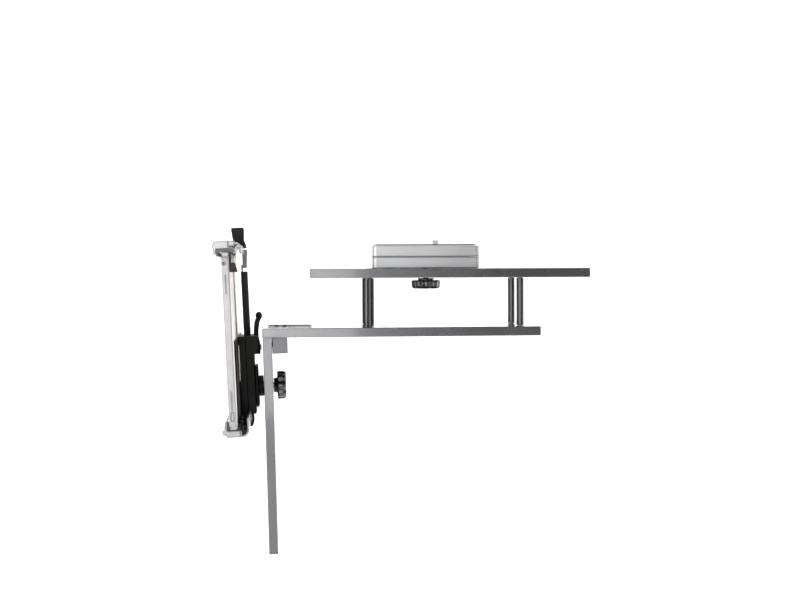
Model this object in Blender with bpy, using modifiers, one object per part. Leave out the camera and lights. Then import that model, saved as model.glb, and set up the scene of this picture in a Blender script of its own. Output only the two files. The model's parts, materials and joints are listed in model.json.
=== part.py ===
"""On-camera teleprompter rig: a slotted rail and a camera plate on four posts, with a drop bar
that carries a sliding tablet clamp in front of the lens.

Frame: origin at the tripod socket in the rail's underside, +X towards the operator, -X towards
the talent, +Z up. Every length and place below is in millimetres; the builders turn it to metres.
"""
import math

import bmesh
import bpy
from mathutils import Matrix

MM = 0.001
GAP = 0.3                 # air left between neighbouring pieces
PAST = 5.0                # how far a cutter runs past the face it opens

# ---------------------------------------------------------------- driving dimensions
PLATE_THICK = 9.525       # 3/8 inch stock, for the rail, the camera plate and the drop bar
EDGE = 0.5                # broken edge on sawn plate

RAIL_FRONT = -128.6
RAIL_REAR = 158.2
RAIL_HALF = 62.0
RAIL_SLOT = (24.0, 118.0)
RAIL_SLOT_HALF = 3.4

POST_HEIGHT = 50.7
POST_RADIUS = 4.0
FRONT_POSTS = (-16.8, 35.5)           # X, and Y on either side: the front pair is set wider
REAR_POSTS = (143.1, 26.0)

CAM_PLATE_FRONT = -80.0
CAM_PLATE_REAR = 210.3
CAM_PLATE_BOTTOM = PLATE_THICK + POST_HEIGHT
CAM_PLATE_TOP = CAM_PLATE_BOTTOM + PLATE_THICK
CAM_SLOT = (-20.5, 144.5)
CAM_SLOT_HALF = 3.5

RISER_FRONT = -15.4
RISER_REAR = 96.4
RISER_HALF = 50.0
RISER_LAYER = 11.7
RISER_CHAMFER = 0.7
RISER_CORNER = 4.0
RISER_PAD = 1.0
RISER_PAD_INSET = 4.0
KNOB_X = 45.5
KNOB_RADIUS = 15.6
KNOB_THICK = 9.4
KNOB_DROP = 2.5                       # from the camera plate's underside to the knob's head
KNOB_THREAD_RADIUS = 3.1
CAMERA_SCREW_X = 56.0
CAMERA_THREAD_RADIUS = 3.175          # 1/4 inch camera thread
CAMERA_STUB = 5.5
CAMERA_HEAD_RADIUS = 6.8

TRIPOD_INSERT_RADIUS = 7.5
TRIPOD_THREAD_RADIUS = 4.5

PLATE_SCREW_HEAD = 3.8               # M4 flat-head screws in the plates
PLATE_SCREW_SHANK = 1.9
PLATE_SCREW_LENGTH = 19.0
PLATE_TAP_RADIUS = 2.2
POST_TAP_DEPTH = 12.0
SMALL_SCREW_HEAD = 1.9               # M2 screws in the clamp
SMALL_SCREW_SHANK = 1.0
SMALL_TAP_RADIUS = 1.3

BRACKET_LEAN = math.radians(1.37)    # play in the corner joint under the tablet's weight
BRACKET_X = -128.5                   # front face of the drop bar
BAR_TOP = -0.6
BAR_FOOT = -226.3
BAR_HALF = 36.6
BAR_SLOT = (-215.0, -35.0)
BAR_SLOT_HALF = 3.4
BAR_SCREW_Y = 22.0
BAR_SCREW_Z = -10.0
BLOCK_X = (PLATE_THICK + GAP, 25.5)
BLOCK_Z = (-18.0, -1.3)
STRIP_X = (-123.2, -77.2)
STRIP_HALF = 8.0
STRIP_THICK = 1.4
STRIP_SCREWS_X = (-113.7, -105.7)
STRIP_SCREW_HEAD = 2.9
STRIP_SCREW_SHANK = 1.5
STRIP_SCREW_LENGTH = 24.0

STUD_Z = -53.4                       # the clamp's height on the drop bar
STUD_RADIUS = 3.0
STUD_X = (-3.9, 18.6)
HOLDER_KNOB_RADIUS = 15.0
HOLDER_KNOB_THICK = 10.0
HOLDER_COLLAR_RADIUS = 8.0
HOLDER_COLLAR = 4.5
HOLDER_TILT = math.radians(1.1)      # the clamp's own lean against the drop bar
HUB_RADIUS = 11.1
HUB_X = (-5.5, -0.7)

BODY_HALF = 28.0                     # clamp body, in the clamp's own frame
BODY_X = (-24.1, -17.2)
BODY_TOP = 54.3
BODY_WAIST = -26.8
COVER_X = (BODY_X[1] + GAP, -9.2)
BOSS_REAR = -4.8
BOSS_FOOT = 37.5
RECESS_HALF = 14.0                   # the lever turns between the boss's two cheeks
CHANNEL_HALF = 15.4
CHANNEL_X = (-19.0, -11.8)
CHANNEL_FLOOR = -8.0
COVER_SCREW_Y = 21.0
COVER_SCREW_Z = 24.0

SLIDE_HALF = 15.0
SLIDE_X = (-18.7, -12.1)
SLIDE_Z = (-6.0, 121.7)
TAB_HALF = 14.0
LINK_HALF = 10.0

LEVER_Z = 41.0
LEVER_RADIUS = 7.4
LEVER_THICK = 6.4
LEVER_ARM_HALF = 2.6
LEVER_BALL = (3.6, 3.6, 4.3)
LEVER_BORE_RADIUS = 2.3

TABLET_HALF = 125.3
TABLET_X = (-33.85, -26.35)
TABLET_Z = (-32.0, 140.8)
TABLET_CORNER = 9.0
TABLET_RIM = 2.2
SCREEN_THICK = 1.0
JACK_X = -30.8
JACK_Z = 129.6
SPEAKER_ROWS = (-11.5, 101.0)
SPEAKER_HOLES = 9
SPEAKER_PITCH = 2.1
BUMPER_Y = -116.0
BUMPER_HALF = 7.0

HOOK_HALF = 9.0

BACK_PLATE_HALF = 100.0
BACK_PLATE_Z = (-28.0, 53.5)
BACK_WINDOW_HALF = 40.0
BACK_WINDOW_Z = (4.0, 45.0)

JAW_HALF = 115.0
BACKING_HALF = 114.6
TOP_WING = (-19.5, 143.0)            # centre of the curved wing behind each jaw
TOP_SPREAD = (5.2, 7.1)              # and how far its outer side reaches from that centre
TOP_EDGE = 139.0                     # its free edge
BOTTOM_WING = (-21.5, -33.0)
BOTTOM_SPREAD = (6.4, -6.7)
BOTTOM_EDGE = -21.4
WING_THICK = 1.6
JAW_SCREW_Y = 60.0

ROUND = 32                # sides of a large round piece
SMALL_ROUND = 20          # sides of a small one

AXES = {
    "Z": Matrix.Identity(4),
    "-Z": Matrix.Rotation(math.pi, 4, "X"),
    "X": Matrix.Rotation(math.pi / 2, 4, "Y"),
    "-X": Matrix.Rotation(-math.pi / 2, 4, "Y"),
    "Y": Matrix.Rotation(-math.pi / 2, 4, "X"),
    "-Y": Matrix.Rotation(math.pi / 2, 4, "X"),
}


# ---------------------------------------------------------------- scene and materials
def clear_scene():
    for obj in list(bpy.data.objects):
        bpy.data.objects.remove(obj, do_unlink=True)


def new_collection(name):
    collection = bpy.data.collections.new(name)
    bpy.context.scene.collection.children.link(collection)
    return collection


def new_material(name, colour, roughness, metallic=0.0):
    material = bpy.data.materials.new(name)
    material.use_nodes = True
    shader = material.node_tree.nodes["Principled BSDF"]
    shader.inputs["Base Color"].default_value = (*colour, 1.0)
    shader.inputs["Roughness"].default_value = roughness
    shader.inputs["Metallic"].default_value = metallic
    return material


clear_scene()
PARTS = new_collection("teleprompter")
CUTTERS = new_collection("cutters")

BLACK_ANODISED = new_material("black_anodised", (0.035, 0.036, 0.04), 0.35, 0.8)
POST_BLACK = new_material("post_black", (0.02, 0.02, 0.022), 0.2, 0.6)
RISER_GREY = new_material("riser_grey", (0.42, 0.43, 0.44), 0.4, 0.9)
SCREW_STEEL = new_material("screw_steel", (0.06, 0.06, 0.065), 0.3, 0.9)
BRASS = new_material("brass", (0.62, 0.47, 0.22), 0.3, 1.0)
KNOB_PLASTIC = new_material("knob_plastic", (0.015, 0.015, 0.016), 0.25)
HOLDER_PLASTIC = new_material("holder_plastic", (0.02, 0.02, 0.021), 0.5)
JAW_SILVER = new_material("jaw_silver", (0.72, 0.73, 0.75), 0.3, 0.9)
TAB_GREY = new_material("tab_grey", (0.3, 0.3, 0.31), 0.45, 0.7)
RUBBER = new_material("rubber", (0.03, 0.03, 0.03), 0.8)
TABLET_SILVER = new_material("tablet_silver", (0.78, 0.77, 0.78), 0.3, 0.9)
SCREEN_GLASS = new_material("screen_glass", (0.01, 0.01, 0.012), 0.08)
BATTERY_FILM = new_material("battery_film", (0.1, 0.1, 0.11), 0.5)
BOARD_GREEN = new_material("board_green", (0.03, 0.14, 0.06), 0.5)


# ---------------------------------------------------------------- builders
def new_frame(name, place, lean=0.0, parent=None):
    """An empty that stands for a joint's axis or a leaning assembly; a lean swings the foot to +X."""
    empty = bpy.data.objects.new(name, None)
    empty.empty_display_size = 10 * MM
    empty.location = [value * MM for value in place]
    empty.rotation_euler = (0.0, -lean, 0.0)
    empty.parent = parent
    PARTS.objects.link(empty)
    return empty


def add_object(name, mesh, place, parent, material):
    """Link a mesh as a part, or as a cutter when it has no material."""
    obj = bpy.data.objects.new(name, mesh)
    obj.location = [value * MM for value in place]
    obj.parent = parent
    if material is None:
        CUTTERS.objects.link(obj)
        obj.hide_render = True
        obj.display_type = "WIRE"
    else:
        PARTS.objects.link(obj)
        mesh.materials.append(material)
    return obj


def mesh_from(bm, name):
    bmesh.ops.scale(bm, vec=(MM, MM, MM), verts=bm.verts)
    mesh = bpy.data.meshes.new(name)
    bm.to_mesh(mesh)
    bm.free()
    return mesh


def bevel(obj, width, segments=2):
    modifier = obj.modifiers.new("Bevel", "BEVEL")
    modifier.width = width * MM
    modifier.segments = segments
    modifier.limit_method = "ANGLE"
    return obj


def cut(obj, *cutters):
    for cutter in cutters:
        modifier = obj.modifiers.new("Cut", "BOOLEAN")
        modifier.operation = "DIFFERENCE"
        modifier.object = cutter
    return obj


def join(obj, *pieces):
    for piece in pieces:
        modifier = obj.modifiers.new("Join", "BOOLEAN")
        modifier.operation = "UNION"
        modifier.object = piece
    return obj


def box(name, xs, ys, zs, material=None, parent=None, edge=0.0, segments=2):
    """A block between two X, two Y and two Z values, with its origin at its centre."""
    bm = bmesh.new()
    bmesh.ops.create_cube(bm, size=1.0)
    sides = [high - low for low, high in (xs, ys, zs)]
    bmesh.ops.scale(bm, vec=sides, verts=bm.verts)
    centre = [(low + high) / 2 for low, high in (xs, ys, zs)]
    obj = add_object(name, mesh_from(bm, name), centre, parent, material)
    if edge:
        bevel(obj, edge, segments)
    return obj


def rod(name, radius, length, place, axis="Z", material=None, parent=None, end_radius=None, sides=None):
    """A cylinder or cone that starts at a place and runs along an axis."""
    bm = bmesh.new()
    far_radius = radius if end_radius is None else end_radius
    count = sides or (ROUND if radius > 5 else SMALL_ROUND)
    bmesh.ops.create_cone(bm, cap_ends=True, segments=count, radius1=radius, radius2=far_radius, depth=length)
    bmesh.ops.translate(bm, vec=(0, 0, length / 2), verts=bm.verts)
    bmesh.ops.transform(bm, matrix=AXES[axis], verts=bm.verts)
    obj = add_object(name, mesh_from(bm, name), place, parent, material)
    obj.data.shade_smooth()
    obj.data.set_sharp_from_angle(angle=math.radians(35))
    return obj


def turned(name, profile, place, axis="Z", material=None, parent=None, sides=ROUND):
    """A turned piece: (radius, height) points from the top of its axis down its outer side."""
    bm = bmesh.new()
    points = [bm.verts.new((radius, 0, height)) for radius, height in profile]
    for start, end in zip(points, points[1:]):
        bm.edges.new((start, end))
    obj = add_object(name, mesh_from(bm, name), place, parent, material)
    obj.rotation_euler = AXES[axis].to_euler()
    screw = obj.modifiers.new("Turn", "SCREW")
    screw.steps = sides
    screw.render_steps = sides
    screw.use_merge_vertices = True
    screw.merge_threshold = 0.00001
    screw.use_smooth_shade = False
    return obj


def prism(name, outline, half_width, material=None, parent=None, place=(0, 0, 0), axis="Y"):
    """An (X, Z) outline made solid between -half_width and +half_width in Y, or an (X, Y) one in Z."""
    curve = bpy.data.curves.new(name, "CURVE")
    curve.dimensions = "2D"
    curve.fill_mode = "BOTH"
    curve.extrude = half_width * MM
    spline = curve.splines.new("POLY")
    spline.points.add(len(outline) - 1)
    for point, (across, up) in zip(spline.points, outline):
        point.co = (across * MM, up * MM, 0, 1)
    spline.use_cyclic_u = True
    drawing = bpy.data.objects.new(name + "_outline", curve)
    bpy.context.scene.collection.objects.link(drawing)
    view = bpy.context.evaluated_depsgraph_get()
    mesh = bpy.data.meshes.new_from_object(drawing.evaluated_get(view))
    bpy.data.objects.remove(drawing, do_unlink=True)
    mesh.name = name
    mesh.materials.clear()
    bm = bmesh.new()
    bm.from_mesh(mesh)
    bmesh.ops.remove_doubles(bm, verts=bm.verts, dist=0.000001)
    if axis == "Y":
        bmesh.ops.rotate(bm, matrix=Matrix.Rotation(math.pi / 2, 3, "X"), verts=bm.verts)
    bmesh.ops.recalc_face_normals(bm, faces=bm.faces)
    bm.to_mesh(mesh)
    bm.free()
    return add_object(name, mesh, place, parent, material)


def arc(centre, radius, start, end, steps=6):
    """Points on an arc, with angles in degrees."""
    angles = [math.radians(start + (end - start) * step / steps) for step in range(steps + 1)]
    return [(centre[0] + radius * math.cos(a), centre[1] + radius * math.sin(a)) for a in angles]


def slot(name, xs, half, zs, parent=None, axis="X", across=0.0):
    """A cutter with round ends, long in X or in Z, for a slot through a plate."""
    low, high = (xs if axis == "X" else zs)
    outline = arc((high - half, 0), half, -90, 90) + arc((low + half, 0), half, 90, 270)
    thin = zs if axis == "X" else xs
    half_depth = (thin[1] - thin[0]) / 2
    middle = (thin[0] + thin[1]) / 2
    if axis == "X":
        return prism(name, outline, half_depth, parent=parent, place=(0, across, middle), axis="Z")
    upright = prism(name, outline, half_depth, parent=parent, place=(middle, across, 0), axis="Z")
    upright.rotation_euler = (0.0, -math.pi / 2, 0.0)
    return upright


def countersunk_screw(name, head, shank, length, place, axis, parent=None, material=SCREW_STEEL):
    """A flat-head screw whose top is at a place and whose shank runs against its axis."""
    drop = head - shank
    profile = [(0, 0), (head, 0), (head, -0.4), (shank, -0.4 - drop), (shank, -length), (0, -length)]
    screw = turned(name, profile, place, axis, material, parent, SMALL_ROUND)
    key = rod(name + "_socket", 0.5 * head, 3.0, place, "Z", parent=parent, sides=6)
    key.data.transform(Matrix.Translation((0, 0, -1.5 * MM)))
    key.data.transform(AXES[axis])
    return cut(screw, key)


def screw_hole(name, head, shank, depth, place, axis, parent=None):
    """The cutter for a countersunk screw: it stands GAP proud of the screw all round."""
    wide = head + GAP
    narrow = shank + GAP
    drop = wide - narrow
    profile = [(0, 5.0), (wide, 5.0), (wide, -0.7), (narrow, -0.7 - drop), (narrow, -depth), (0, -depth)]
    return turned(name, profile, place, axis, None, parent, SMALL_ROUND)


def plate_screw(name, place, axis, parent=None):
    size = (PLATE_SCREW_HEAD, PLATE_SCREW_SHANK, PLATE_SCREW_LENGTH)
    return countersunk_screw(name, *size, place, axis, parent)


def plate_screw_hole(name, place, axis, parent=None):
    depth = PLATE_SCREW_LENGTH + 1
    return screw_hole(name, PLATE_SCREW_HEAD, PLATE_SCREW_SHANK, depth, place, axis, parent)


def star_knob(name, head_radius, thickness, place, axis, parent, lobes=8):
    """A fluted knob head that starts at a place and runs along its axis."""
    rim = 1.2
    profile = [(0, thickness), (head_radius - rim, thickness), (head_radius, thickness - rim),
               (head_radius, rim), (head_radius - rim, 0), (0, 0)]
    knob = turned(name, profile, place, axis, KNOB_PLASTIC, parent, 48)
    flute_radius = head_radius * 0.2
    bm = bmesh.new()
    for lobe in range(lobes):
        turn = Matrix.Rotation(2 * math.pi * lobe / lobes, 4, "Z")
        shift = Matrix.Translation((head_radius + 0.45 * flute_radius, 0, thickness / 2))
        bmesh.ops.create_cone(bm, cap_ends=True, segments=14, radius1=flute_radius, radius2=flute_radius,
                              depth=thickness + 4, matrix=turn @ shift)
    bmesh.ops.transform(bm, matrix=AXES[axis], verts=bm.verts)
    flutes = add_object(name + "_flutes", mesh_from(bm, name + "_flutes"), place, parent, None)
    return cut(knob, flutes)


# ---------------------------------------------------------------- rail, plate and posts
def post_places():
    for end, (x, half) in (("front", FRONT_POSTS), ("rear", REAR_POSTS)):
        for side, y in (("near", -half), ("far", half)):
            yield end + "_" + side, x, y


def make_base_rail():
    rail = box("base_rail", (RAIL_FRONT, RAIL_REAR), (-RAIL_HALF, RAIL_HALF), (0, PLATE_THICK),
               BLACK_ANODISED, edge=EDGE)
    through = (-PAST, PLATE_THICK + PAST)
    cut(rail, slot("rail_slot", RAIL_SLOT, RAIL_SLOT_HALF, through))
    cut(rail, rod("tripod_bore", TRIPOD_INSERT_RADIUS + GAP, 20, (0, 0, -PAST)))
    for label, x in zip(("front", "rear"), STRIP_SCREWS_X):
        place = (x, 0, PLATE_THICK + GAP + STRIP_THICK - 0.1)
        cut(rail, screw_hole("strip_bore_" + label, STRIP_SCREW_HEAD, STRIP_SCREW_SHANK, 20, place, "Z"))
    for label, x, y in post_places():
        cut(rail, plate_screw_hole("rail_hole_" + label, (x, y, GAP), "-Z"))
    return rail


def make_tripod_insert():
    insert = rod("tripod_insert", TRIPOD_INSERT_RADIUS, PLATE_THICK - GAP, (0, 0, 0), "Z", BRASS)
    return cut(insert, rod("tripod_thread", TRIPOD_THREAD_RADIUS, 20, (0, 0, -PAST)))


def make_posts():
    for label, x, y in post_places():
        bottom = PLATE_THICK + GAP
        height = POST_HEIGHT - 2 * GAP
        post = rod("post_" + label, POST_RADIUS, height, (x, y, bottom), "Z", POST_BLACK, sides=24)
        deep = POST_TAP_DEPTH + PAST
        for end, start in (("low", bottom - PAST), ("high", bottom + height - POST_TAP_DEPTH)):
            cut(post, rod("post_bore_" + end + "_" + label, PLATE_TAP_RADIUS, deep, (x, y, start)))
        plate_screw("post_screw_low_" + label, (x, y, GAP), "-Z")
        plate_screw("post_screw_high_" + label, (x, y, CAM_PLATE_TOP - GAP), "Z")


def make_camera_plate():
    plate = box("camera_plate", (CAM_PLATE_FRONT, CAM_PLATE_REAR), (-RAIL_HALF, RAIL_HALF),
                (CAM_PLATE_BOTTOM, CAM_PLATE_TOP), BLACK_ANODISED, edge=EDGE)
    through = (CAM_PLATE_BOTTOM - PAST, CAM_PLATE_TOP + PAST)
    cut(plate, slot("plate_slot", CAM_SLOT, CAM_SLOT_HALF, through))
    for label, x, y in post_places():
        cut(plate, plate_screw_hole("plate_hole_" + label, (x, y, CAM_PLATE_TOP - GAP), "Z"))
    return plate


# ---------------------------------------------------------------- riser and its knob
def round_corners(obj, axis, radius):
    """Rounds the edges of a plain block that run along one axis, 0 for X or 2 for Z."""
    bm = bmesh.new()
    bm.from_mesh(obj.data)
    across = [edge for edge in bm.edges if abs(edge.verts[0].co[axis] - edge.verts[1].co[axis]) > MM]
    bmesh.ops.bevel(bm, geom=across, offset=radius * MM, segments=5, profile=0.5, affect="EDGES")
    bm.to_mesh(obj.data)
    bm.free()
    return obj


def rounded_block(name, length, width, height):
    block = round_corners(box(name, length, width, height, RISER_GREY), 2, RISER_CORNER)
    return bevel(block, RISER_CHAMFER, 1)


def make_riser():
    lower = CAM_PLATE_TOP + GAP
    upper = lower + RISER_LAYER + GAP
    pad = upper + RISER_LAYER + GAP
    length = (RISER_FRONT, RISER_REAR)
    width = (-RISER_HALF, RISER_HALF)
    block = rounded_block("riser_lower", length, width, (lower, lower + RISER_LAYER))
    cut(block, rod("knob_thread_bore", KNOB_THREAD_RADIUS + 0.5, 15, (KNOB_X, 0, lower - PAST)))
    block = rounded_block("riser_upper", length, width, (upper, upper + RISER_LAYER))
    place = (CAMERA_SCREW_X, 0, upper - PAST)
    cut(block, rod("camera_screw_bore", CAMERA_THREAD_RADIUS + 0.425, 40, place))
    cut(block, rod("camera_screw_seat", CAMERA_HEAD_RADIUS + 0.5, 10, place))
    rubber = box("riser_pad", (RISER_FRONT + RISER_PAD_INSET, RISER_REAR - RISER_PAD_INSET),
                 (-RISER_HALF + RISER_PAD_INSET, RISER_HALF - RISER_PAD_INSET), (pad, pad + RISER_PAD),
                 RUBBER, edge=0.3)
    cut(rubber, rod("pad_hole", 4.5, 10, (CAMERA_SCREW_X, 0, pad - PAST)))
    make_camera_screw(upper, pad + RISER_PAD + CAMERA_STUB)


def make_camera_screw(seat, top):
    head = (seat + 0.6, seat + 4.7)
    thread = CAMERA_THREAD_RADIUS
    profile = [(0, top), (thread - 0.5, top), (thread, top - 0.5), (thread, head[1]),
               (CAMERA_HEAD_RADIUS, head[1]), (CAMERA_HEAD_RADIUS, head[0]), (0, head[0])]
    turned("camera_screw", profile, (CAMERA_SCREW_X, 0, 0), "Z", SCREW_STEEL, sides=24)


def make_camera_knob():
    axis = new_frame("camera_knob_axis", (KNOB_X, 0, CAM_PLATE_BOTTOM))
    head = star_knob("camera_knob", KNOB_RADIUS, KNOB_THICK, (0, 0, -KNOB_DROP), "-Z", axis)
    start = (0, 0, -KNOB_DROP - 1)
    collar = rod("camera_knob_collar", 8.8, KNOB_DROP + 0.7, start, "Z", parent=axis)
    stud = rod("camera_knob_stud", KNOB_THREAD_RADIUS, 22, start, "Z", parent=axis)
    return join(head, collar, stud)


# ---------------------------------------------------------------- drop bracket
def make_bracket(frame):
    bar = box("drop_bar", (0, PLATE_THICK), (-BAR_HALF, BAR_HALF), (BAR_FOOT, BAR_TOP), BLACK_ANODISED,
              frame, EDGE)
    cut(bar, slot("bar_slot", (-PAST, PLATE_THICK + PAST), BAR_SLOT_HALF, BAR_SLOT, frame, "Z"))
    block = box("corner_block", BLOCK_X, (-BAR_HALF, BAR_HALF), BLOCK_Z, BLACK_ANODISED, frame, EDGE)
    for side, y in (("near", -BAR_SCREW_Y), ("far", BAR_SCREW_Y)):
        place = (GAP, y, BAR_SCREW_Z)
        cut(bar, plate_screw_hole("bar_hole_" + side, place, "-X", frame))
        start = (BLOCK_X[0] - PAST, y, BAR_SCREW_Z)
        cut(block, rod("block_hole_" + side, PLATE_TAP_RADIUS, 16, start, "X", parent=frame))
        plate_screw("bar_screw_" + side, place, "-X", frame)
    for label, x in zip(("front", "rear"), STRIP_SCREWS_X):
        cut(block, rod("strip_tap_" + label, STRIP_SCREW_SHANK + 0.5, 30, (x, 0, -14)))


def make_clamp_strip():
    bottom = PLATE_THICK + GAP
    top = bottom + STRIP_THICK
    strip = box("clamp_strip", STRIP_X, (-STRIP_HALF, STRIP_HALF), (bottom, top), POST_BLACK, edge=0.4)
    for label, x in zip(("front", "rear"), STRIP_SCREWS_X):
        place = (x, 0, top - 0.1)
        cut(strip, screw_hole("strip_hole_" + label, STRIP_SCREW_HEAD, STRIP_SCREW_SHANK, 20, place, "Z"))
        countersunk_screw("strip_screw_" + label, STRIP_SCREW_HEAD, STRIP_SCREW_SHANK, STRIP_SCREW_LENGTH,
                          place, "Z")


# ---------------------------------------------------------------- tablet clamp
def make_stud_and_knob(axis):
    rod("holder_stud", STUD_RADIUS, STUD_X[1] - STUD_X[0], (STUD_X[0], 0, 0), "X", SCREW_STEEL, axis)
    start = PLATE_THICK + GAP
    head = (start + HOLDER_COLLAR - 1, 0, 0)
    knob = star_knob("holder_knob", HOLDER_KNOB_RADIUS, HOLDER_KNOB_THICK, head, "X", axis)
    collar = rod("holder_knob_collar", HOLDER_COLLAR_RADIUS, HOLDER_COLLAR, (start, 0, 0), "X", parent=axis)
    join(knob, collar)
    cut(knob, rod("holder_knob_bore", STUD_RADIUS + GAP, 14.0, (start - 4, 0, 0), "X", parent=axis))


def make_hub_and_mount(frame):
    hub = rod("holder_hub", HUB_RADIUS, HUB_X[1] - HUB_X[0], (HUB_X[0], 0, 0), "X", HOLDER_PLASTIC, frame)
    bevel(hub, 0.6, 1)
    cut(hub, rod("hub_bore", STUD_RADIUS + 0.6, 12, (HUB_X[0] + 1.2, 0, 0), "X", parent=frame))
    block = (COVER_X[1] + GAP, HUB_X[0] - GAP)
    box("mount_block", block, (-20, 20), (-20.3, 22.3), HOLDER_PLASTIC, frame, 0.6, 1)


def make_body(frame):
    front, seam = BODY_X
    tail = [(seam, -33.6), (-18.1, -35.8), (-19.9, -37.1), (-21.8, -37.3), (-21.8, -33.0), (front, -33.0)]
    outline = [(front, BODY_TOP), (seam, BODY_TOP)] + tail
    body = bevel(prism("body_housing", outline, BODY_HALF, HOLDER_PLASTIC, frame), 0.5, 1)
    channel = box("body_channel", CHANNEL_X, (-CHANNEL_HALF, CHANNEL_HALF), (CHANNEL_FLOOR, BODY_TOP + 10),
                  parent=frame)
    cut(body, channel)
    boss = [(COVER_X[0], BODY_TOP), (BOSS_REAR - 1, BODY_TOP), (BOSS_REAR, BODY_TOP - 1),
            (BOSS_REAR, BOSS_FOOT), (COVER_X[1], BOSS_FOOT - 3.5), (COVER_X[1], BODY_WAIST),
            (COVER_X[0], BODY_WAIST)]
    cover = bevel(prism("rear_cover", boss, BODY_HALF, HOLDER_PLASTIC, frame), 0.5, 1)
    recess = box("lever_recess", (COVER_X[1], BOSS_REAR + PAST), (-RECESS_HALF, RECESS_HALF),
                 (BOSS_FOOT - 8, BODY_TOP + PAST), parent=frame)
    cut(cover, channel, recess)
    cut(cover, rod("lever_screw_bore", LEVER_BORE_RADIUS + 0.1, 30, (-20, 0, LEVER_Z), "X", parent=frame))
    for side, y in (("near", -COVER_SCREW_Y), ("far", COVER_SCREW_Y)):
        place = (COVER_X[1] - 0.1, y, COVER_SCREW_Z)
        size = (SMALL_SCREW_HEAD, SMALL_SCREW_SHANK)
        cut(cover, screw_hole("cover_hole_" + side, *size, 14, place, "X", frame))
        start = (-22.0, y, COVER_SCREW_Z)
        cut(body, rod("cover_bore_" + side, SMALL_TAP_RADIUS, 7.0, start, "X", parent=frame))
        countersunk_screw("cover_screw_" + side, *size, 11.5, place, "X", frame)


def make_back_plate(frame):
    """The thin frame that the tablet leans on, wider than the body, with a window in its middle."""
    across = (TABLET_X[1] + GAP, BODY_X[0] - 0.5)
    wide = (-BACK_PLATE_HALF, BACK_PLATE_HALF)
    plate = box("back_plate", across, wide, BACK_PLATE_Z, HOLDER_PLASTIC, frame, 0.3, 1)
    through = (across[0] - PAST, across[1] + PAST)
    opening = (-BACK_WINDOW_HALF, BACK_WINDOW_HALF)
    cut(plate, box("back_window", through, opening, BACK_WINDOW_Z, parent=frame))


def make_lower_hook(frame):
    """The half-round lug under the rear cover that cradles the bottom jaw's wing from behind."""
    reach = (BOTTOM_SPREAD[0] + GAP, BOTTOM_SPREAD[1] - GAP)
    inner = oval(BOTTOM_WING, reach, 0, 60)
    outline = [(inner[0][0], BODY_WAIST - GAP)] + inner
    outline += [(-16.6, -42.0), (-14.4, -41.2), (-12.8, -38.6), (-12.2, -35.4), (-12.4, -31.0),
                (-13.2, -28.4), (-14.0, BODY_WAIST - GAP)]
    bevel(prism("lower_hook", outline, HOOK_HALF, HOLDER_PLASTIC, frame), 0.2, 1)


# ---------------------------------------------------------------- jaws
def oval(centre, spread, start, end, steps=6):
    """Points on a quarter of an ellipse; 90 degrees is above or below its centre and 0 is behind it."""
    angles = [math.radians(start + (end - start) * step / steps) for step in range(steps + 1)]
    return [(centre[0] + spread[0] * math.cos(a), centre[1] + spread[1] * math.sin(a)) for a in angles]


def wing(centre, spread, edge):
    """A jaw's curved wing: its outer side down to the free edge, then its inner side back to the root."""
    inside = (spread[0] - WING_THICK, spread[1] - math.copysign(WING_THICK, spread[1]))
    outer = oval(centre, spread, 90, 0)
    inner = oval(centre, inside, 0, 90)
    return outer + [(outer[-1][0], edge), (inner[0][0], edge)] + inner


def jaw_screw(name, place, length, frame):
    shank = SMALL_SCREW_SHANK
    profile = [(0, 1.4), (1.3, 1.4), (1.7, 1.0), (1.7, 0), (shank, 0), (shank, -length), (0, -length)]
    return turned(name, profile, place, "X", SCREW_STEEL, frame, SMALL_ROUND)


def make_bottom_jaw(frame):
    rear = -23.9
    base = (BOTTOM_WING[1] + BOTTOM_SPREAD[1], -33.4)
    outline = [(rear, base[0]), (rear, base[1]), (-36.4, base[1]), (-36.4, -25.0), (-37.0, -24.3),
               (-37.8, -24.3), (-38.4, -25.0), (-38.4, -32.2), (-39.0, -32.8), (-41.1, -33.0),
               (-41.1, -36.8), (-38.0, -37.4), (-36.9, -39.0), (-36.2, base[0])]
    jaw = prism("bottom_jaw", outline, JAW_HALF, JAW_SILVER, frame)
    floor = (base[1] + GAP, TABLET_Z[0] - GAP)
    liner = [(-24.9, floor[0]), (-24.9, -30.0), (-25.6, -30.0), (-25.9, floor[1]), (-34.2, floor[1]),
             (-34.2, -24.4), (-35.2, -24.0), (-36.1, -24.6), (-36.1, floor[0])]
    prism("bottom_jaw_liner", liner, JAW_HALF, RUBBER, frame)
    flange = (rear + GAP, rear + GAP + 1.4)
    outline = [(flange[0], base[0])] + wing(BOTTOM_WING, BOTTOM_SPREAD, BOTTOM_EDGE)
    outline += [(flange[1], base[0] + WING_THICK), (flange[1], base[1]), (flange[0], base[1])]
    backing = prism("bottom_jaw_backing", outline, BACKING_HALF, JAW_SILVER, frame)
    cut(backing, box("body_notch", (BODY_X[1], -10), (-BODY_HALF - 0.5, BODY_HALF + 0.5),
                     (BODY_WAIST - GAP, BOTTOM_EDGE + 5), parent=frame))
    z = -36.1
    for side, y in (("near", -JAW_SCREW_Y), ("far", JAW_SCREW_Y)):
        cut(jaw, rod("jaw_bore_" + side, SMALL_TAP_RADIUS, 12, (-33.0, y, z), "X", parent=frame))
        cut(backing, rod("wing_bore_" + side, SMALL_TAP_RADIUS, 4, (-26.0, y, z), "X", parent=frame))
        cut(backing, rod("wing_access_" + side, 2.1, 12, (flange[1] + GAP, y, z), "X", parent=frame))
        jaw_screw("bottom_jaw_screw_" + side, (flange[1] + 0.1, y, z), 9.5, frame)


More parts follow.
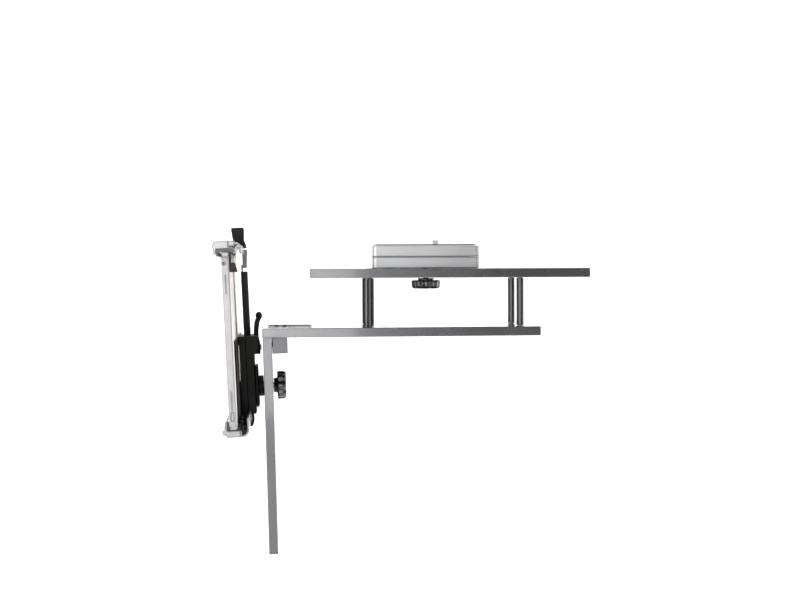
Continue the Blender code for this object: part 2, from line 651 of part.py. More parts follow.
def make_top_jaw(frame):
    rear = -26.8
    block = (144.3, 151.7)
    outline = [(rear, block[0]), (rear, block[1]), (-40.4, block[1]), (-41.3, 150.8), (-41.3, 149.0),
               (-42.4, 148.8), (-42.4, 145.2), (-41.3, 145.0), (-41.3, 139.2), (-40.6, 138.6),
               (-39.5, 138.6), (-38.9, 139.2), (-38.9, block[0])]
    jaw = prism("top_jaw", outline, JAW_HALF, JAW_SILVER, frame)
    roof = (TABLET_Z[1] + GAP, block[0] - GAP)
    liner = [(-21.5, roof[0]), (-21.5, roof[1]), (-38.6, roof[1]), (-38.6, 137.0), (-37.9, 136.4),
             (-37.1, 137.0), (-37.1, roof[0])]
    prism("top_jaw_liner", liner, JAW_HALF, RUBBER, frame)
    middle = (rear + GAP, -21.3)
    root = TOP_WING[1] + TOP_SPREAD[1]
    outline = [(middle[0], 146.6), (middle[0], 151.5), (middle[1], 151.5), (middle[1], root)]
    outline += wing(TOP_WING, TOP_SPREAD, TOP_EDGE) + [(middle[1], root - WING_THICK), (middle[1], 146.6)]
    backing = prism("top_jaw_backing", outline, BACKING_HALF, JAW_SILVER, frame)
    cut(backing, box("tab_notch", (TOP_WING[0] - 1, -8), (-TAB_HALF - 0.5, TAB_HALF + 0.5),
                     (TOP_EDGE - 5, 145.8), parent=frame))
    for side, y in (("near", -JAW_SCREW_Y), ("far", JAW_SCREW_Y)):
        z = 149.0
        cut(jaw, rod("top_jaw_bore_" + side, SMALL_TAP_RADIUS, 12, (-35.0, y, z), "X", parent=frame))
        cut(backing, rod("backing_bore_" + side, SMALL_TAP_RADIUS, 12, (-30.0, y, z), "X", parent=frame))
        cut(backing, rod("backing_access_" + side, 2.05, 14, (middle[1] - 0.1, y, z), "X", parent=frame))
        jaw_screw("top_jaw_screw_" + side, (middle[1], y, z), 10.0, frame)


def make_slide(frame):
    """The bar with its rear corners chamfered, and the tab that carries the top jaw."""
    front, rear = SLIDE_X
    corner = 3.2
    section = [(front, -SLIDE_HALF), (rear - corner, -SLIDE_HALF), (rear, -SLIDE_HALF + corner),
               (rear, SLIDE_HALF - corner), (rear - corner, SLIDE_HALF), (front, SLIDE_HALF)]
    middle = sum(SLIDE_Z) / 2
    half = (SLIDE_Z[1] - SLIDE_Z[0]) / 2
    bar = prism("slide_bar", section, half, HOLDER_PLASTIC, frame, (0, 0, middle), "Z")
    bevel(bar, 0.4, 1)
    link = (-18.1, -16.7)
    pocket = (link[0] - GAP, link[1] + GAP)
    cut(bar, box("link_pocket", pocket, (-LINK_HALF - GAP, LINK_HALF + GAP), (110.0, 130.0), parent=frame))
    outline = [(-16.6, 126.6), (-15.9, 125.5), (-13.2, 125.5), (-12.4, 126.6), (-11.3, 144.4), (-19.4, 144.4),
               (-19.4, 141.9), (-16.4, 141.4)]
    tab = prism("slide_end_tab", outline, TAB_HALF, TAB_GREY, frame)
    stem = box("tab_link", link, (-LINK_HALF, LINK_HALF), (111.0, 128.0), parent=frame)
    neck = box("tab_neck", (link[0], -15.5), (-LINK_HALF, LINK_HALF), (126.7, 128.5), parent=frame)
    join(tab, stem, neck)


def make_pull_tab(frame):
    reach = (TOP_SPREAD[0] + GAP, TOP_SPREAD[1] + GAP)
    outline = oval(TOP_WING, reach, 28, 90)
    outline += [(-21.0, 150.6), (-21.2, 152.4), (-24.6, 154.0), (-25.4, 155.4), (-26.8, 167.0),
                (-25.8, 168.0), (-14.6, 168.0), (-13.6, 167.0), (-14.2, 154.6), (-12.4, 150.4),
                (-11.9, 146.6)]
    bevel(prism("jaw_pull_tab", outline, 12.0, HOLDER_PLASTIC, frame), 0.25, 1)


def make_lever(frame):
    start = COVER_X[1] + GAP
    axis = new_frame("lever_axis", (start, 0, LEVER_Z), 0.0, frame)
    hub = rod("clamp_lever", LEVER_RADIUS, LEVER_THICK, (0, 0, 0), "X", KNOB_PLASTIC, axis)
    bevel(hub, 0.6, 1)
    outline = [(0.4, 3.0), (0.3, 12.2), (0.4, 18.5), (1.3, 26.0), (3.0, 31.0), (9.0, 31.0), (6.8, 26.0),
               (5.4, 18.3), (5.2, 12.5), (5.7, 9.0), (6.0, 5.0), (5.8, 3.0)]
    arm = bevel(prism("lever_arm", outline, LEVER_ARM_HALF, parent=axis), 0.5, 1)
    bm = bmesh.new()
    bmesh.ops.create_uvsphere(bm, u_segments=20, v_segments=12, radius=1.0)
    bmesh.ops.scale(bm, vec=LEVER_BALL, verts=bm.verts)
    ball = add_object("lever_ball", mesh_from(bm, "lever_ball"), (6.5, 0, 33.4), axis, None)
    join(hub, arm, ball)
    cut(hub, rod("lever_bore", LEVER_BORE_RADIUS, 20, (-10, 0, 0), "X", parent=axis))
    profile = [(0, 1.4), (2.8, 1.4), (3.6, 0.7), (3.6, 0.3), (1.9, 0.3), (1.9, -9.0), (0, -9.0)]
    screw = turned("lever_screw", profile, (LEVER_THICK, 0, 0), "X", JAW_SILVER, axis, SMALL_ROUND)
    cut(screw, rod("lever_screw_socket", 1.6, 6, (LEVER_THICK + 0.5, 0, 0), "X", parent=axis, sides=6))


# ---------------------------------------------------------------- tablet
def tablet_shell(frame):
    """The tablet's aluminium tray, with its four round corners and soft edges."""
    housing = box("tablet_housing", TABLET_X, (-TABLET_HALF, TABLET_HALF), TABLET_Z, TABLET_SILVER, frame)
    return bevel(round_corners(housing, 0, TABLET_CORNER), 1.1, 2)


def make_tablet(frame):
    front, back = TABLET_X
    low, high = TABLET_Z
    housing = tablet_shell(frame)
    wide = TABLET_HALF - TABLET_RIM
    recess = (low + TABLET_RIM, high - TABLET_RIM)
    under = (front - PAST, front + SCREEN_THICK + GAP)
    cut(housing, box("screen_recess", under, (-wide, wide), recess, parent=frame))
    floor = back - 1.0
    ledge = 6.0
    cut(housing, box("inner_pocket", (front - PAST, floor), (-wide + ledge, wide - ledge),
                     (recess[0] + ledge, recess[1] - ledge), parent=frame))
    box("tablet_screen", (front + 0.1, front + SCREEN_THICK), (-wide + GAP, wide - GAP),
        (recess[0] + GAP, recess[1] - GAP), SCREEN_GLASS, frame, 0.25, 1)
    inside = (low + 20, high - 20)
    box("tablet_battery", (floor - 4.0, floor - GAP), (-70, 90), inside, BATTERY_FILM, frame, 0.6, 1)
    box("tablet_board", (floor - 2.4, floor - GAP), (-110, -78), inside, BOARD_GREEN, frame, 0.2, 1)
    cut(housing, rod("jack_hole", 1.8, 8, (JACK_X, -TABLET_HALF - 2, JACK_Z), "Y", parent=frame, sides=16))
    make_speaker_holes(housing, frame)
    make_tablet_button("power_button", housing, -1, -22.4, frame)
    make_tablet_button("volume_up_button", housing, 1, 74.0, frame)
    make_tablet_button("volume_down_button", housing, 1, 60.0, frame)
    inner = back + GAP
    outline = [(inner, 139.8), (-24.6, 139.8), (-24.0, 134.5), (-24.8, 130.4), (-21.0, 130.2), (-18.5, 121.0),
               (inner, 121.0)]
    bevel(prism("back_bumper", outline, BUMPER_HALF, RUBBER, frame, (0, BUMPER_Y, 0)), 0.3, 1)


def make_speaker_holes(housing, frame):
    """Two rows of round holes in each short edge, held as one cutter of separate bodies."""
    middle = sum(TABLET_X) / 2
    bm = bmesh.new()
    for end in (-TABLET_HALF, TABLET_HALF):
        for start in SPEAKER_ROWS:
            for hole in range(SPEAKER_HOLES):
                place = Matrix.Translation((middle, end, start + hole * SPEAKER_PITCH))
                bmesh.ops.create_cone(bm, cap_ends=True, segments=8, radius1=0.65, radius2=0.65, depth=3.0,
                                      matrix=place @ AXES["Y"])
    cut(housing, add_object("speaker_holes", mesh_from(bm, "speaker_holes"), (0, 0, 0), frame, None))


def make_tablet_button(name, housing, end, start, frame):
    """A sprung key that stands proud of a short edge and presses in; end is -1 near or +1 far."""
    middle = sum(TABLET_X) / 2
    half_width = 1.25
    length = 8.0
    rim = end * TABLET_HALF
    key_y = sorted((rim + end * 0.8, rim - end * 1.4))
    pocket_y = sorted((rim + end * 5.0, rim - end * 2.6))
    key = box(name, (middle - half_width, middle + half_width), key_y, (start, start + length), SCREW_STEEL,
              frame, 0.3, 1)
    cut(housing, box(name + "_pocket", (middle - half_width - GAP, middle + half_width + GAP), pocket_y,
                     (start - GAP, start + length + GAP), parent=frame))
    return key


def main():
    make_base_rail()
    make_tripod_insert()
    make_posts()
    make_camera_plate()
    make_riser()
    make_camera_knob()
    bracket = new_frame("bracket_frame", (BRACKET_X, 0, 0), BRACKET_LEAN)
    make_bracket(bracket)
    make_clamp_strip()
    make_stud_and_knob(new_frame("stud_axis", (0, 0, STUD_Z), 0.0, bracket))
    clamp = new_frame("clamp_frame", (0, 0, STUD_Z), HOLDER_TILT, bracket)
    make_hub_and_mount(clamp)
    make_body(clamp)
    make_back_plate(clamp)
    make_bottom_jaw(clamp)
    make_lower_hook(clamp)
    make_slide(clamp)
    make_top_jaw(clamp)
    make_pull_tab(clamp)
    make_lever(clamp)
    make_tablet(clamp)


main()
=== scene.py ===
"""Looks for the teleprompter rig: every CAD node gets a procedural finish, the two star knobs are
redrawn with smooth lobes, and the whole stands in a pale studio. Lengths are in metres, except for
the knobs' profiles, which are in millimetres."""
import json
import math

import bmesh
import bpy
from mathutils import Matrix, Vector


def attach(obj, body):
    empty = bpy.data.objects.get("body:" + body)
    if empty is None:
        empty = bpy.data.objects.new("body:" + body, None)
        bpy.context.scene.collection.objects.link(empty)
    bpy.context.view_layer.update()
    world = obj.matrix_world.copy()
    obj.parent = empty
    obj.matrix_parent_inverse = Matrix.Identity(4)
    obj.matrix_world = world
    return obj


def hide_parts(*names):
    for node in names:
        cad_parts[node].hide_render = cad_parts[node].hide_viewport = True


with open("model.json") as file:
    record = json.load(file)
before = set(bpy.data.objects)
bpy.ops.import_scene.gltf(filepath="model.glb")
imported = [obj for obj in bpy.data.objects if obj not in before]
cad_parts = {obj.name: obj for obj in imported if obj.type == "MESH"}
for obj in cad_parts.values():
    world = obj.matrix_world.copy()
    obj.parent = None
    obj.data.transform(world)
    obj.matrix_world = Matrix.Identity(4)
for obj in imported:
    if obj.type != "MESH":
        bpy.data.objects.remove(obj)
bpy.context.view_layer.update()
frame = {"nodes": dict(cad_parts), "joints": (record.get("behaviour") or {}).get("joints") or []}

MM = 0.001
SCENE = bpy.context.scene
HOLDER_LEAN = math.radians(2.47)  # how far the tablet leans from the vertical


def mesh_object(name, bm, material):
    """A finished mesh as an object in the scene."""
    mesh = bpy.data.meshes.new(name)
    bm.to_mesh(mesh)
    bm.free()
    mesh.materials.append(material)
    obj = bpy.data.objects.new(name, mesh)
    SCENE.collection.objects.link(obj)
    return obj


# ---------------------------------------------------------------- node materials
def map_range(tree, value, low, high, start, end):
    """A node that turns start to end into low to high."""
    remap = tree.nodes.new("ShaderNodeMapRange")
    for key, number in (("From Min", start), ("From Max", end), ("To Min", low), ("To Max", high)):
        remap.inputs[key].default_value = number
    tree.links.new(value, remap.inputs["Value"])
    return remap.outputs["Result"]


class Shader:
    """A material with its Principled shader, and short ways to wire procedural detail into it."""

    def __init__(self, name, colour, roughness, metallic=0.0):
        self.material = bpy.data.materials.new(name)
        self.material.use_nodes = True
        self.tree = self.material.node_tree
        self.shader = self.tree.nodes["Principled BSDF"]
        self.shader.inputs["Base Color"].default_value = (*colour, 1.0)
        self.shader.inputs["Roughness"].default_value = roughness
        self.shader.inputs["Metallic"].default_value = metallic
        coordinates = self.tree.nodes.new("ShaderNodeTexCoord")
        self.place = coordinates.outputs["Object"]
        self.facing = coordinates.outputs["Normal"]
        self.normal = None

    def link(self, start, end):
        self.tree.links.new(start, end)

    def node(self, kind, **values):
        node = self.tree.nodes.new(kind)
        for key, value in values.items():
            if key in node.inputs:
                node.inputs[key].default_value = value
            else:
                setattr(node, key, value)
        return node

    def along(self, axis, lengthwise, across):
        """Object coordinates scaled so that noise turns to streaks along one axis."""
        scale = [lengthwise if letter == axis else across for letter in "XYZ"]
        mapping = self.node("ShaderNodeMapping", Scale=scale)
        self.link(self.place, mapping.inputs["Vector"])
        return mapping.outputs["Vector"]

    def noise(self, scale, detail=4.0, vector=None, roughness=0.55):
        noise = self.node("ShaderNodeTexNoise", Scale=scale, Detail=detail, Roughness=roughness)
        self.link(vector or self.place, noise.inputs["Vector"])
        return noise.outputs["Fac"]

    def spread(self, value, low, high, start=0.3, end=0.7):
        """A value from start to end turned to a number from low to high."""
        return map_range(self.tree, value, low, high, start, end)

    def ramp(self, value, stops):
        """A value turned to a colour, by stops of (value, colour)."""
        ramp = self.tree.nodes.new("ShaderNodeValToRGB")
        points = ramp.color_ramp.elements
        while len(points) < len(stops):
            points.new(0.5)
        for point, (where, colour) in zip(points, stops):
            point.position = where
            point.color = (*colour, 1.0)
        self.link(value, ramp.inputs["Fac"])
        return ramp.outputs["Color"]

    def colour_from(self, value, dark, light, start=0.3, end=0.7):
        self.link(self.ramp(value, [(start, dark), (end, light)]), self.shader.inputs["Base Color"])
        return self

    def roughness_from(self, value, low, high, start=0.3, end=0.7):
        self.link(self.spread(value, low, high, start, end), self.shader.inputs["Roughness"])
        return self

    def bump(self, value, distance, strength=0.5):
        bump = self.node("ShaderNodeBump", Strength=strength, Distance=distance)
        self.link(value, bump.inputs["Height"])
        if self.normal is not None:
            self.link(self.normal, bump.inputs["Normal"])
        self.normal = bump.outputs["Normal"]
        self.link(self.normal, self.shader.inputs["Normal"])
        return self

    def paint_edge_shade(self, colour, radius, dark=0.15):
        """Colours the finish with painted shade: a darker line along every sharp edge, where the metal rolls
        over, stands in for the shade and dark reflection there.
        """
        rounded = self.node("ShaderNodeBevel", samples=4, Radius=radius).outputs["Normal"]
        facing = self.node("ShaderNodeVectorMath", operation="DOT_PRODUCT")
        self.link(rounded, facing.inputs[0])
        self.link(self.node("ShaderNodeNewGeometry").outputs["True Normal"], facing.inputs[1])
        shade = self.spread(facing.outputs["Value"], dark, 1.0, 0.88, 0.997)
        mix = self.node("ShaderNodeVectorMath", operation="SCALE")
        self.link(colour, mix.inputs[0])
        self.link(shade, mix.inputs["Scale"])
        self.link(mix.outputs["Vector"], self.shader.inputs["Base Color"])
        return self

    def set(self, **values):
        for key, value in values.items():
            self.shader.inputs[key.replace("_", " ")].default_value = value
        return self


def anodised_plate(name, tone, along):
    """Satin dark anodised plate, brushed along one axis, with faint handling marks."""
    dark, light = tone
    made = Shader(name, dark, 0.28, 0.85)
    brushed = made.noise(26.0, 3.0, made.along(along, 0.6, 60.0))
    marks = made.noise(38.0, 6.0, roughness=0.7)
    made.colour_from(brushed, dark, light, 0.25, 0.75)
    made.roughness_from(marks, 0.22, 0.3)
    made.bump(brushed, 0.00004, 0.25)
    made.bump(made.noise(2600.0, 2.0), 0.00002, 0.2)
    return made.set(Coat_Weight=0.9, Coat_Roughness=0.06).material


def extruded_metal(name, dark, light, roughness, along, metallic, coat=0.9):
    """Clear-anodised aluminium profile, with die lines along its length."""
    made = Shader(name, light, roughness, metallic)
    lines = made.noise(20.0, 3.0, made.along(along, 0.5, 90.0))
    cloud = made.noise(55.0, 5.0)
    # painted shade: the colour darkens in a thin line along sharp edges, standing in for shade and dark
    # reflection
    made.paint_edge_shade(made.ramp(lines, [(0.25, dark), (0.75, light)]), 0.002)
    made.roughness_from(cloud, roughness - 0.06, roughness + 0.08)
    return made.bump(lines, 0.00004, 0.25).set(Coat_Weight=coat, Coat_Roughness=0.06).material


def moulded(name, dark, light, roughness, grain=900.0, depth=0.00005, coat=0.0, sheen=0.5):
    """Black moulded plastic: fine spark grain, with soft clouds of shade and gloss."""
    made = Shader(name, dark, roughness)
    cloud = made.noise(70.0, 5.0)
    speck = made.noise(grain, 3.0)
    made.colour_from(cloud, dark, light)
    made.roughness_from(cloud, roughness - 0.07, roughness + 0.09)
    made.bump(speck, depth, 0.45)
    return made.set(Coat_Weight=coat, Coat_Roughness=0.08, Specular_IOR_Level=sheen).material


def soft_rubber(name, dark, light, coat=0.0):
    """Black rubber with a fine pebbled skin; with a coat it shines like vinyl."""
    made = Shader(name, dark, 0.75)
    made.colour_from(made.noise(160.0, 6.0), dark, light)
    made.roughness_from(made.noise(90.0, 4.0), 0.62, 0.85)
    made.bump(made.noise(1400.0, 4.0), 0.00008, 0.5)
    return made.set(Coat_Weight=coat, Coat_Roughness=0.08).material


def turned_steel(name, dark, light, roughness):
    """Steel or brass off the lathe, with fine uneven turning marks."""
    made = Shader(name, dark, roughness, 0.95)
    rings = made.noise(900.0, 3.0)
    made.colour_from(rings, dark, light)
    made.roughness_from(made.noise(240.0, 4.0), roughness - 0.08, roughness + 0.1)
    return made.bump(rings, 0.00003, 0.3).material


def gloss_enamel(name, dark, light):
    """Polished black posts: a clear hard coat with faint long ripples."""
    made = Shader(name, dark, 0.16, 0.2)
    ripple = made.noise(24.0, 2.0, made.along("Z", 2.0, 30.0))
    made.colour_from(ripple, dark, light)
    made.roughness_from(made.noise(300.0, 5.0), 0.12, 0.22)
    return made.bump(ripple, 0.00004, 0.25).set(Coat_Weight=0.7, Coat_Roughness=0.06).material


def glass_panel(name):
    """The tablet's dark screen: a black panel under gloss glass, with faint finger marks."""
    made = Shader(name, (0.006, 0.006, 0.008), 0.06)
    smear = made.noise(18.0, 6.0, roughness=0.65)
    made.colour_from(smear, (0.005, 0.005, 0.007), (0.009, 0.009, 0.012))
    made.roughness_from(smear, 0.035, 0.14, 0.42, 0.75)
    made.bump(made.noise(5.0, 1.0), 0.00005, 0.05)
    return made.set(Coat_Weight=1.0, Coat_Roughness=0.02).material


def tablet_metal(name, dark, light, cream, rear):
    """A tablet's tray: bead-blasted aluminium round the rim, and a warm satin finish on the side that
    faces along rear."""
    made = Shader(name, light, 0.34, 0.35)
    facing = made.node("ShaderNodeVectorMath", operation="DOT_PRODUCT")
    made.link(made.facing, facing.inputs[0])
    facing.inputs[1].default_value = rear
    back = made.spread(facing.outputs["Value"], 0.0, 1.0, 0.85, 0.97)
    cloud = made.noise(45.0, 4.0)
    blend = made.node("ShaderNodeMix", data_type="RGBA")
    made.link(back, blend.inputs["Factor"])
    made.link(made.ramp(cloud, [(0.3, dark), (0.7, light)]), blend.inputs[6])
    made.link(made.ramp(cloud, [(0.3, cream), (0.7, [0.94 * value for value in cream])]), blend.inputs[7])
    # painted shade: the colour darkens in a thin line along sharp edges, standing in for shade and dark
    # reflection
    made.paint_edge_shade(blend.outputs[2], 0.0016, 0.35)
    made.link(made.spread(back, 0.35, 0.0, 0.0, 1.0), made.shader.inputs["Metallic"])
    made.link(made.spread(back, 0.5, 0.1, 0.0, 1.0), made.shader.inputs["Specular IOR Level"])
    rough = made.node("ShaderNodeMath", operation="MULTIPLY_ADD")
    made.link(back, rough.inputs[0])
    rough.inputs[1].default_value = 0.4
    made.link(made.spread(made.noise(400.0, 3.0), 0.3, 0.42), rough.inputs[2])
    made.link(rough.outputs["Value"], made.shader.inputs["Roughness"])
    return made.bump(made.noise(5200.0, 2.0), 0.00002, 0.35).material


def studio_paper(name, dark, light):
    """Pale matt background paper, faintly clouded."""
    made = Shader(name, light, 0.95)
    made.colour_from(made.noise(1.6, 3.0), dark, light)
    made.bump(made.noise(240.0, 3.0), 0.0002, 0.15)
    return made.set(Specular_IOR_Level=0.15).material


def printed_film(name, dark, light, scale):
    """A mottled film or lacquer, for what is inside the tablet."""
    made = Shader(name, dark, 0.5)
    made.colour_from(made.noise(scale, 5.0), dark, light)
    return made.bump(made.noise(scale * 3, 3.0), 0.0001, 0.4).material


PLATE = anodised_plate("anodised_long", ((0.13, 0.131, 0.138), (0.165, 0.167, 0.176)), "X")
BAR = anodised_plate("anodised_upright", ((0.115, 0.116, 0.124), (0.15, 0.152, 0.16)), "Z")
BLOCK = anodised_plate("anodised_block", ((0.045, 0.046, 0.05), (0.065, 0.066, 0.071)), "X")
POST = gloss_enamel("gloss_posts", (0.006, 0.006, 0.007), (0.011, 0.011, 0.012))
STRIP = anodised_plate("strip_black", ((0.012, 0.012, 0.014), (0.022, 0.022, 0.025)), "X")
RISER = extruded_metal("riser_metal", (0.44, 0.443, 0.45), (0.56, 0.563, 0.57), 0.34, "X", 0.7)
SCREW = turned_steel("black_screws", (0.03, 0.03, 0.033), (0.055, 0.055, 0.06), 0.34)
STUD = turned_steel("stud_steel", (0.3, 0.3, 0.31), (0.42, 0.42, 0.43), 0.28)
BRASS = turned_steel("brass_insert", (0.55, 0.4, 0.17), (0.68, 0.52, 0.26), 0.28)
KNOB = moulded("knob_gloss", (0.005, 0.005, 0.006), (0.009, 0.009, 0.01), 0.18, 1400.0, 0.00002, 0.8)
PLASTIC = moulded("clamp_plastic", (0.004, 0.004, 0.004), (0.008, 0.008, 0.007), 0.5, sheen=0.2)
JAW = extruded_metal("jaw_metal", (0.28, 0.283, 0.289), (0.38, 0.383, 0.39), 0.3, "Y", 0.6, 0.5)
TAB = extruded_metal("tab_metal", (0.15, 0.15, 0.154), (0.21, 0.21, 0.214), 0.42, "Z", 0.5, 0.1)
RUBBER = soft_rubber("black_rubber", (0.012, 0.012, 0.012), (0.028, 0.028, 0.028))
PAD = soft_rubber("riser_rubber", (0.02, 0.02, 0.02), (0.035, 0.035, 0.035))
LINER = soft_rubber("jaw_vinyl", (0.01, 0.01, 0.01), (0.02, 0.02, 0.02), 1.0)
TABLET = tablet_metal("tablet_metal", (0.38, 0.368, 0.376), (0.46, 0.446, 0.46), (0.93, 0.89, 0.82),
                      (math.cos(HOLDER_LEAN), 0.0, math.sin(HOLDER_LEAN)))
SCREEN = glass_panel("screen_glass")
FILM = printed_film("battery_film", (0.05, 0.05, 0.055), (0.09, 0.09, 0.1), 60.0)
BOARD = printed_film("board_mask", (0.01, 0.06, 0.025), (0.03, 0.13, 0.06), 240.0)


# ---------------------------------------------------------------- carried-over CAD nodes
def dress(node, material, edge):
    """A CAD node keeps its shape and gets its finish, smooth round sides and, if asked, a worn edge."""
    obj = frame["nodes"][node]
    obj.data.materials.clear()
    obj.data.materials.append(material)
    obj.data.shade_smooth()
    obj.data.set_sharp_from_angle(angle=math.radians(30))
    if edge:
        soften = obj.modifiers.new("Edge", "BEVEL")
        soften.width = edge
        soften.segments = 2
        soften.limit_method = "ANGLE"
        soften.angle_limit = math.radians(40)
        soften.harden_normals = True


def nodes_named(*starts):
    """The CAD nodes whose names begin in one of these ways."""
    return [name for name in sorted(frame["nodes"]) if name.startswith(starts)]


FINISHES = {
    PLATE: ["base_rail", "camera_plate"],
    BAR: ["drop_bar"],
    BLOCK: ["corner_block"],
    STRIP: ["clamp_strip"],
    RISER: ["riser_lower", "riser_upper"],
    PAD: ["riser_pad"],
    SCREW: nodes_named("post_screw", "strip_screw", "bar_screw", "cover_screw", "bottom_jaw_screw",
                       "top_jaw_screw"),
    STUD: ["holder_stud", "camera_screw"],
    BRASS: ["tripod_insert"],
    POST: nodes_named("post_front", "post_rear"),
    PLASTIC: ["mount_block", "body_housing", "rear_cover", "slide_bar", "jaw_pull_tab", "back_plate",
              "lower_hook", "holder_hub", "clamp_lever"],
    JAW: ["bottom_jaw", "bottom_jaw_backing", "top_jaw", "top_jaw_backing", "lever_screw"],
    TAB: ["slide_end_tab"],
    RUBBER: ["back_bumper"],
    LINER: ["bottom_jaw_liner", "top_jaw_liner"],
    TABLET: ["tablet_housing", "power_button", "volume_up_button", "volume_down_button"],
    SCREEN: ["tablet_screen"],
    FILM: ["tablet_battery"],
    BOARD: ["tablet_board"],
    KNOB: ["holder_knob", "camera_knob"],
}
WORN_EDGES = {
    0.0004: ["base_rail", "camera_plate", "drop_bar", "corner_block", "top_jaw", "bottom_jaw",
             "slide_end_tab", "clamp_lever"],
    0.0003: ["top_jaw_backing", "bottom_jaw_backing", "mount_block"],
}
EDGE_OF = {name: width for width, names in WORN_EDGES.items() for name in names}
for finish, names in FINISHES.items():
    for name in names:
        dress(name, finish, EDGE_OF.get(name, 0.0))


# ---------------------------------------------------------------- moulded knobs
KNOB_LOBES = 8
SIDES_PER_LOBE = 14
JOINTS = {joint["name"]: joint for joint in frame["joints"]}


def joint_frame(name, flip):
    """A joint's place, with Z along its axis, or against it."""
    joint = JOINTS[name]
    axis = Vector(joint["axis"]) * (-1 if flip else 1)
    return Matrix.Translation(joint["pos_m"]) @ axis.to_track_quat("Z", "Y").to_matrix().to_4x4()


def lobed_knob(node, joint, body, rings, depth, flip=False):
    """A moulded star knob round a joint's axis: rings of (radius, height, lobed) from its inner end out,
    with flutes of the given depth between the lobes."""
    sides = KNOB_LOBES * SIDES_PER_LOBE
    bm = bmesh.new()
    grid = []
    for radius, height, lobed in rings:
        ring = []
        for side in range(sides):
            angle = 2 * math.pi * side / sides
            flute = (0.5 - 0.5 * math.cos(KNOB_LOBES * angle)) ** 2
            reach = radius - depth * flute * lobed
            point = Vector((reach * math.cos(angle), reach * math.sin(angle), height))
            ring.append(bm.verts.new(point * MM))
        grid.append(ring)
    for low, high in zip(grid, grid[1:]):
        for side in range(sides):
            after = (side + 1) % sides
            bm.faces.new((low[side], low[after], high[after], high[side]))
    bm.faces.new(reversed(grid[0]))
    bm.faces.new(grid[-1])
    knob = mesh_object(node + "_moulded", bm, KNOB)
    knob.matrix_world = joint_frame(joint, flip)
    knob.data.shade_smooth()
    knob.data.set_sharp_from_angle(angle=math.radians(50))
    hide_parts(node)
    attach(knob, body)


def lobed_rim(radius, start, end, inner, outer):
    """Lobed rings round a knob's rim, rolled over by one radius at its inner end and one at its outer."""
    steps = 6
    turn = [math.radians(90 * step / steps) for step in range(steps + 1)]
    low = [(radius - inner + inner * math.sin(a), start + inner - inner * math.cos(a), 1) for a in turn]
    high = [(radius - outer + outer * math.cos(a), end - outer + outer * math.sin(a), 1) for a in turn]
    return low + high


def dished_face(radius, end):
    """Round rings that close a knob's outer face with a shallow dish."""
    floor = end - 0.4
    return [(radius + 0.5, end, 0), (radius, floor, 0), (2.0, floor, 0)]


def make_holder_knob():
    """The knob behind the upright bar: a blind bore for the stud, a collar and the lobed rim."""
    bore, bore_end = 3.3, 18.5
    collar, collar_face, collar_end = 7.9, 9.85, 12.6
    rim_start, rim_end = 13.45, 23.2
    rings = [(bore, bore_end, 0), (bore, collar_face, 0)]
    rings += [(collar - 0.5, collar_face, 0), (collar, collar_face + 0.45, 0), (collar, collar_end, 0)]
    rings += [(collar + 0.6, rim_start - 0.05, 0)] + lobed_rim(14.9, rim_start, rim_end, 1.8, 3.6)
    lobed_knob("holder_knob", "clamp_knob_turn", "clamp_knob", rings + dished_face(collar, rim_end), 2.2)


def make_camera_knob():
    """The knob under the camera plate: its own stud, a collar and the lobed rim."""
    stud, stud_end = 3.0, -18.4
    collar, collar_face, collar_end = 8.7, 0.35, 2.5
    rim_start, rim_end = 2.55, 11.8
    rings = [(stud - 0.5, stud_end, 0), (stud, stud_end + 0.5, 0), (stud, collar_face, 0)]
    rings += [(collar - 0.4, collar_face, 0), (collar, collar_face + 0.35, 0), (collar, collar_end, 0)]
    rings += lobed_rim(15.5, rim_start, rim_end, 1.8, 3.8) + dished_face(collar - 0.4, rim_end)
    lobed_knob("camera_knob", "riser_knob_turn", "riser_knob", rings, 2.3, flip=True)


make_holder_knob()
make_camera_knob()


# ---------------------------------------------------------------- studio
def backdrop():
    """A pale paper sweep: a floor that curves up into a wall behind the object."""
    floor = -0.42
    wall = 2.6
    wall_top = 4.5
    radius = 1.1
    half = 9.0
    bend = [(wall - radius + radius * math.sin(a), floor + radius * (1 - math.cos(a)))
            for a in (math.radians(angle) for angle in range(0, 91, 5))]
    profile = [(-half, floor)] + bend + [(wall, wall_top)]
    bm = bmesh.new()
    rows = [[bm.verts.new((side, y, z)) for side in (-half, half)] for y, z in profile]
    for near, far in zip(rows, rows[1:]):
        bm.faces.new((near[0], near[1], far[1], far[0]))
    paper = studio_paper("sweep_paper", (0.84, 0.84, 0.84), (0.88, 0.88, 0.88))
    sweep = mesh_object("paper_sweep", bm, paper)
    sweep.data.shade_smooth()


def area_light(name, place, target, size, power):
    """A soft box at place that points at target."""
    light = bpy.data.lights.new(name, "AREA")
    light.shape = "RECTANGLE"
    light.size, light.size_y = size
    light.energy = power
    obj = bpy.data.objects.new(name, light)
    obj.location = place
    obj.rotation_euler = (Vector(target) - Vector(place)).to_track_quat("-Z", "Y").to_euler()
    SCENE.collection.objects.link(obj)


def world_light(pale, dark, side):
    """A pale studio all round, with a dark curtain towards one side for the metal to reflect."""
    world = bpy.data.worlds.new("studio_air")
    world.use_nodes = True
    tree = world.node_tree
    towards = tree.nodes.new("ShaderNodeVectorMath")
    towards.operation = "DOT_PRODUCT"
    tree.links.new(tree.nodes.new("ShaderNodeTexCoord").outputs["Generated"], towards.inputs[0])
    towards.inputs[1].default_value = side
    curtain = map_range(tree, towards.outputs["Value"], pale, dark, 0.3, 0.62)
    tree.links.new(curtain, tree.nodes["Background"].inputs["Strength"])
    tree.nodes["Background"].inputs["Color"].default_value = (1.0, 1.0, 1.0, 1.0)
    SCENE.world = world


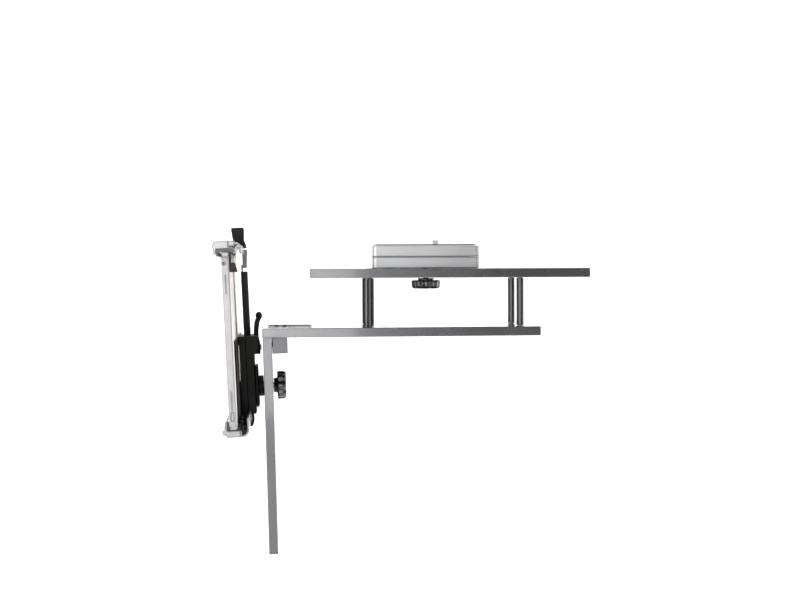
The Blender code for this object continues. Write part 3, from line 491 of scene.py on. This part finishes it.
CENTRE = (0.0, 0.0, 0.0)
LIGHTS = {  # place, what it points at, width and height, watts
    "wall_left": ((-1.6, 1.2, 2.4), (-1.0, 2.6, 0.2), (1.6, 1.2), 42.0),
    "wall_right": ((1.6, 1.2, 2.4), (1.0, 2.6, 0.2), (1.6, 1.2), 42.0),
    "wall_low": ((0.0, 0.9, 2.6), (0.0, 1.6, -0.3), (2.4, 0.8), 36.0),
    "strip_left": ((-1.3, -0.9, 0.1), CENTRE, (0.06, 0.9), 6.0),
    "strip_right": ((1.4, -1.0, 0.1), CENTRE, (0.06, 0.9), 4.0),
    "side_right": ((1.5, 0.9, 0.1), CENTRE, (0.5, 1.0), 12.0),
    "card_left": ((-0.62, -2.0, 0.26), (-0.62, 0.0, 0.26), (1.4, 1.1), 16.5),
    "side_left": ((-1.5, 0.6, 0.25), CENTRE, (0.8, 1.2), 11.0),
    "top_soft": ((0.1, -0.1, 1.7), CENTRE, (1.6, 1.4), 8.0),
}
backdrop()
world_light(0.6, 0.1, (0.1, -0.995, 0.0))
for light_name, (place, target, size, power) in LIGHTS.items():
    area_light(light_name, place, target, size, power)


# ---------------------------------------------------------------- camera
FOCAL_RATIO = 1.6125  # focal length over the picture's width
SENSOR_WIDTH = 36.0
CAMERA_PLACE = (-0.110, -1.376, 0.061)
CAMERA_YAW = math.radians(5.3)
CAMERA_PITCH = math.radians(-1.017)
CAMERA_ROLL = math.radians(0.252)


def make_camera():
    """A camera at the rig's near side, a little above the rail, turned, pitched and rolled in that order."""
    data = bpy.data.cameras.new("photo_camera")
    data.sensor_width = SENSOR_WIDTH
    data.lens = FOCAL_RATIO * SENSOR_WIDTH
    data.clip_start = 0.01
    camera = bpy.data.objects.new("photo_camera", data)
    turn = Matrix.Rotation(-CAMERA_YAW, 4, "Z") @ Matrix.Rotation(math.pi / 2 + CAMERA_PITCH, 4, "X")
    camera.matrix_world = Matrix.Translation(CAMERA_PLACE) @ turn @ Matrix.Rotation(-CAMERA_ROLL, 4, "Z")
    SCENE.collection.objects.link(camera)
    SCENE.camera = camera


make_camera()
SCENE.view_settings.view_transform = "Standard"
